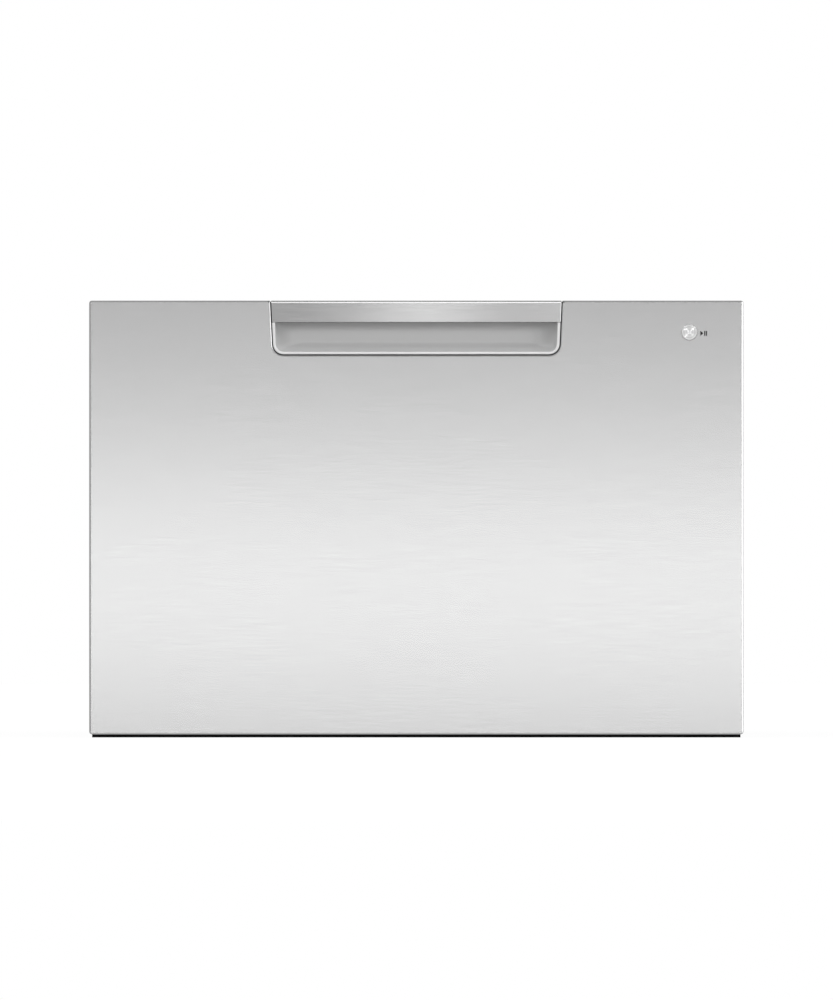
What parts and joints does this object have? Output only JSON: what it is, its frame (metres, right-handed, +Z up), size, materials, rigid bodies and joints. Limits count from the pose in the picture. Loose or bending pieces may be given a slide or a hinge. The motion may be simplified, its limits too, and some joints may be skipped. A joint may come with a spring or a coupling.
{
  "type": "dishwasher drawer",
  "caption": "Built-in dishwasher drawer with a brushed steel front, recessed handle and start button; the tub rolls out on telescopic runners under a lowering lid.",
  "frame": {"origin": "centre of the bounding box's base, on the floor", "axes": "+Z up, the drawer front faces -Y, and +X is on the right as the front is looked at"},
  "size_m": [0.599, 0.573, 0.4],
  "materials": {
    "brushed_steel": "fine horizontal brushing",
    "steel_trim": "satin stainless steel",
    "silver_plastic": "silver painted plastic",
    "button_steel": "turned stainless steel",
    "zinc_sheet": "galvanised sheet steel",
    "zinc_parts": "zinc plated steel",
    "balls": "polished steel balls in a steel cage",
    "black_rubber": "matt black rubber",
    "grey_rubber": "matt grey rubber",
    "black_plastic": "moulded plastic",
    "black_gloss": "gloss black",
    "tub_plastic": "light grey polypropylene",
    "grey_plastic": "grey polypropylene",
    "light_plastic": "light grey plastic",
    "stainless_plate": "perforated stainless steel",
    "rack_coating": "nylon-coated steel wire",
    "copper_winding": "enamelled copper windings on laminated steel"
  },
  "bodies": {
    "chassis": {"base_tray": "zinc_sheet", "side_panel_left": "zinc_sheet", "side_panel_right": "zinc_sheet", "rear_panel": "zinc_sheet", "top_panel": "zinc_sheet", "front_gasket": "black_rubber", "chassis_screws": "zinc_parts", "runner_outer_left": "zinc_parts", "runner_outer_right": "zinc_parts", "lid_actuators": "black_plastic", "inlet_valve": "light_plastic", "drain_outlet": "black_plastic", "terminal_box": "black_plastic", "chassis_hoses": "grey_rubber", "link_pivot": "grey_plastic"},
    "drawer": {"front_panel": "brushed_steel", "front_frame": "black_plastic", "handle_bar": "steel_trim", "handle_scoop": "silver_plastic", "control_strip": "black_gloss", "button_housing": "black_plastic", "runner_inner_left": "zinc_parts", "runner_inner_right": "zinc_parts", "tub": "tub_plastic", "dispenser": "grey_plastic", "filter_plate": "stainless_plate", "pump_stator": "copper_winding", "electronics_module": "black_plastic", "rack": "rack_coating", "cutlery_basket": "grey_plastic", "link_bracket": "zinc_parts", "drawer_hoses": "grey_rubber"},
    "lid": {"lid": "tub_plastic", "lid_seal": "grey_rubber"},
    "foot_front_left": {"foot_front_left": "black_plastic"},
    "foot_front_right": {"foot_front_right": "black_plastic"},
    "foot_rear_left": {"foot_rear_left": "black_plastic"},
    "foot_rear_right": {"foot_rear_right": "black_plastic"},
    "runner_middle_left": {"runner_middle_left": "zinc_parts"},
    "runner_middle_right": {"runner_middle_right": "zinc_parts"},
    "ball_cages_outer": {"ball_cages_outer": "balls"},
    "ball_cages_inner": {"ball_cages_inner": "balls"},
    "lid_cranks_front": {"lid_cranks_front": "zinc_parts"},
    "lid_cranks_rear": {"lid_cranks_rear": "zinc_parts"},
    "lid_rods": {"lid_rods": "zinc_parts"},
    "start_button": {"start_button": "button_steel"},
    "key_power": {"key_power": "button_steel"},
    "key_program": {"key_program": "button_steel"},
    "key_option": {"key_option": "button_steel"},
    "dispenser_flap": {"dispenser_flap": "light_plastic"},
    "rinse_cap": {"rinse_cap": "light_plastic"},
    "drain_filter": {"drain_filter": "grey_plastic"},
    "spray_arm": {"spray_arm": "grey_plastic"},
    "rotor": {"rotor": "grey_plastic"},
    "tine_comb_left": {"tine_comb_left": "rack_coating"},
    "tine_comb_right": {"tine_comb_right": "rack_coating"},
    "cup_rack_left": {"cup_rack_left": "rack_coating"},
    "cup_rack_right": {"cup_rack_right": "rack_coating"},
    "link_arm_rear": {"link_arm_rear": "grey_plastic"},
    "link_arm_front": {"link_arm_front": "grey_plastic"}
  },
  "joints": [
    {"name": "drawer_slide", "type": "slide", "parent": "chassis", "child": "drawer", "axis": [0, -1, 0], "range_m": [0, 0.5]},
    {"name": "runner_middle_left_slide", "type": "slide", "parent": "chassis", "child": "runner_middle_left", "axis": [0, -1, 0], "range_m": [0, 0.25]},
    {"name": "runner_middle_right_slide", "type": "slide", "parent": "chassis", "child": "runner_middle_right", "axis": [0, -1, 0], "range_m": [0, 0.25]},
    {"name": "ball_cages_outer_slide", "type": "slide", "parent": "chassis", "child": "ball_cages_outer", "axis": [0, -1, 0], "range_m": [0, 0.125]},
    {"name": "ball_cages_inner_slide", "type": "slide", "parent": "chassis", "child": "ball_cages_inner", "axis": [0, -1, 0], "range_m": [0, 0.375]},
    {"name": "lid_drop", "type": "slide", "parent": "chassis", "child": "lid", "axis": [0, 0, -1], "range_m": [0, 0.01]},
    {"name": "lid_cranks_front_turn", "type": "hinge", "parent": "chassis", "child": "lid_cranks_front", "pos_m": [0, -0.1655, 0.3673], "axis": [1, 0, 0], "range_deg": [0, 14.4]},
    {"name": "lid_cranks_rear_turn", "type": "hinge", "parent": "chassis", "child": "lid_cranks_rear", "pos_m": [0, 0.1345, 0.3673], "axis": [1, 0, 0], "range_deg": [0, 14.4]},
    {"name": "lid_rods_slide", "type": "slide", "parent": "chassis", "child": "lid_rods", "axis": [0, 1, 0], "range_m": [0, 0.0063]},
    {"name": "link_arm_rear_turn", "type": "hinge", "parent": "chassis", "child": "link_arm_rear", "pos_m": [-0.2, 0.2615, 0.0765], "axis": [0, 0, 1], "range_deg": [-38.7, 0]},
    {"name": "link_arm_front_turn", "type": "hinge", "parent": "link_arm_rear", "child": "link_arm_front", "pos_m": [0.2, 0.2615, 0.1115], "axis": [0, 0, 1], "range_deg": [0, 77.4]},
    {"name": "spray_arm_spin", "type": "hinge", "parent": "drawer", "child": "spray_arm", "pos_m": [0, -0.0155, 0.099], "axis": [0, 0, 1], "continuous": true},
    {"name": "rotor_spin", "type": "hinge", "parent": "drawer", "child": "rotor", "pos_m": [0, -0.0155, 0.035], "axis": [0, 0, 1], "continuous": true},
    {"name": "start_button_press", "type": "slide", "parent": "drawer", "child": "start_button", "axis": [0, 1, 0], "range_m": [0, 0.001], "stiffness_N_per_m": 1500, "springref_m": -0.001},
    {"name": "key_power_press", "type": "slide", "parent": "drawer", "child": "key_power", "axis": [0, 0, -1], "range_m": [0, 0.0008], "stiffness_N_per_m": 1200, "springref_m": -0.0008},
    {"name": "key_program_press", "type": "slide", "parent": "drawer", "child": "key_program", "axis": [0, 0, -1], "range_m": [0, 0.0008], "stiffness_N_per_m": 1200, "springref_m": -0.0008},
    {"name": "key_option_press", "type": "slide", "parent": "drawer", "child": "key_option", "axis": [0, 0, -1], "range_m": [0, 0.0008], "stiffness_N_per_m": 1200, "springref_m": -0.0008},
    {"name": "dispenser_flap_open", "type": "hinge", "parent": "drawer", "child": "dispenser_flap", "pos_m": [-0.02, -0.2287, 0.233], "axis": [-1, 0, 0], "range_deg": [0, 95]},
    {"name": "rinse_cap_turn", "type": "hinge", "parent": "drawer", "child": "rinse_cap", "pos_m": [0.04, -0.23, 0.267], "axis": [0, 1, 0], "range_deg": [0, 90]},
    {"name": "drain_filter_turn", "type": "hinge", "parent": "drawer", "child": "drain_filter", "pos_m": [0.04455, -0.06005, 0.07], "axis": [0, 0, 1], "range_deg": [0, 60]},
    {"name": "tine_comb_left_fold", "type": "hinge", "parent": "drawer", "child": "tine_comb_left", "pos_m": [-0.05, 0.036, 0.1213], "axis": [0, -1, 0], "range_deg": [0, 85]},
    {"name": "tine_comb_right_fold", "type": "hinge", "parent": "drawer", "child": "tine_comb_right", "pos_m": [0.05, 0.036, 0.1213], "axis": [0, 1, 0], "range_deg": [0, 85]},
    {"name": "cup_rack_left_fold", "type": "hinge", "parent": "drawer", "child": "cup_rack_left", "pos_m": [-0.225, -0.001, 0.2255], "axis": [0, -1, 0], "range_deg": [0, 85]},
    {"name": "cup_rack_right_fold", "type": "hinge", "parent": "drawer", "child": "cup_rack_right", "pos_m": [0.225, -0.001, 0.2255], "axis": [0, 1, 0], "range_deg": [0, 85]},
    {"name": "foot_front_left_screw", "type": "slide", "parent": "chassis", "child": "foot_front_left", "axis": [0, 0, -1], "range_m": [0, 0.02]},
    {"name": "foot_front_right_screw", "type": "slide", "parent": "chassis", "child": "foot_front_right", "axis": [0, 0, -1], "range_m": [0, 0.02]},
    {"name": "foot_rear_left_screw", "type": "slide", "parent": "chassis", "child": "foot_rear_left", "axis": [0, 0, -1], "range_m": [0, 0.02]},
    {"name": "foot_rear_right_screw", "type": "slide", "parent": "chassis", "child": "foot_rear_right", "axis": [0, 0, -1], "range_m": [0, 0.02]}
  ],
  "couplings": [
    {"joint": "runner_middle_left_slide", "follows": "drawer_slide", "ratio": 0.5},
    {"joint": "runner_middle_right_slide", "follows": "drawer_slide", "ratio": 0.5},
    {"joint": "ball_cages_outer_slide", "follows": "drawer_slide", "ratio": 0.25},
    {"joint": "ball_cages_inner_slide", "follows": "drawer_slide", "ratio": 0.75},
    {"joint": "lid_cranks_front_turn", "follows": "lid_drop", "rad_per_m": 25.066},
    {"joint": "lid_cranks_rear_turn", "follows": "lid_drop", "rad_per_m": 25.066},
    {"joint": "lid_rods_slide", "follows": "lid_drop", "ratio": 0.625},
    {"joint": "link_arm_rear_turn", "follows": "drawer_slide", "rad_per_m": -1.3503},
    {"joint": "link_arm_front_turn", "follows": "drawer_slide", "rad_per_m": 2.7005}
  ]
}
